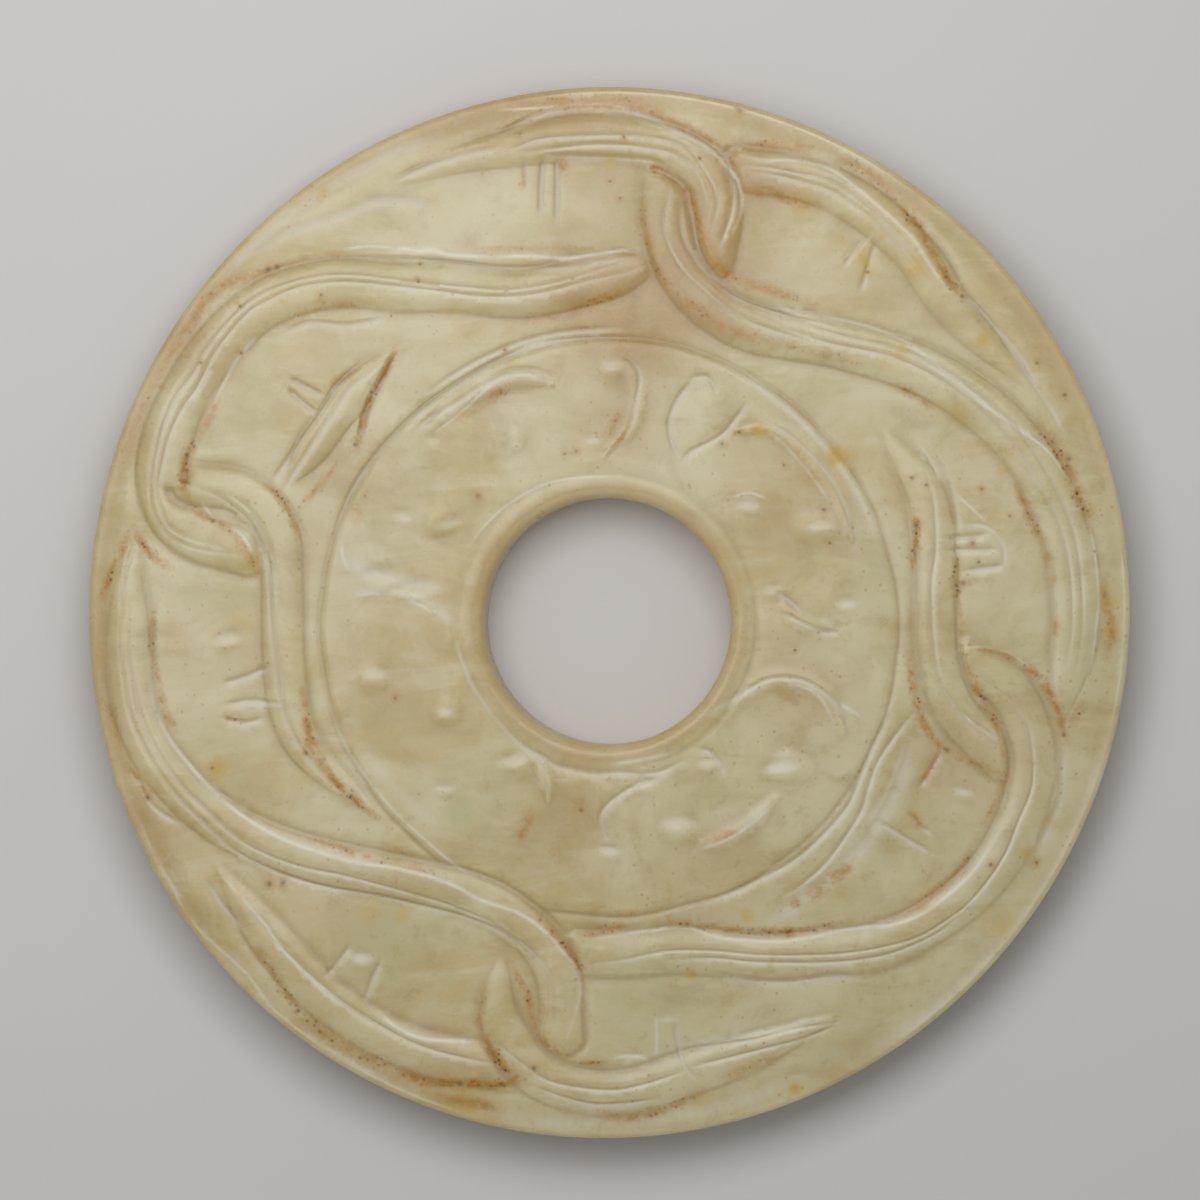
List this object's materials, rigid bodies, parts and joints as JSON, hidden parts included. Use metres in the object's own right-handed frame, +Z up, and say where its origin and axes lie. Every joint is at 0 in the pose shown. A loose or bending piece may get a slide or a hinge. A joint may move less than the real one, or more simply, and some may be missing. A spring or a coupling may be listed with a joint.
{
  "type": "jade bi disc",
  "caption": "Flat round disc of polished pale jade with a round hole in its middle, carved on its front in low relief with hooked, knotted bands and a ring of scrolls.",
  "frame": {"origin": "on the surface that the disc lies on, below the middle of the stone", "axes": "+Z up, out of the carved face; +Y towards the top of the carving; +X to its right"},
  "size_m": [0.0547, 0.0552, 0.005],
  "materials": {
    "jade": "polished pale yellow-green jade, cloudy and a little translucent, with orange-brown staining in the cuts"
  },
  "bodies": {
    "root": {"bi_disc": "jade"}
  },
  "joints": []
}
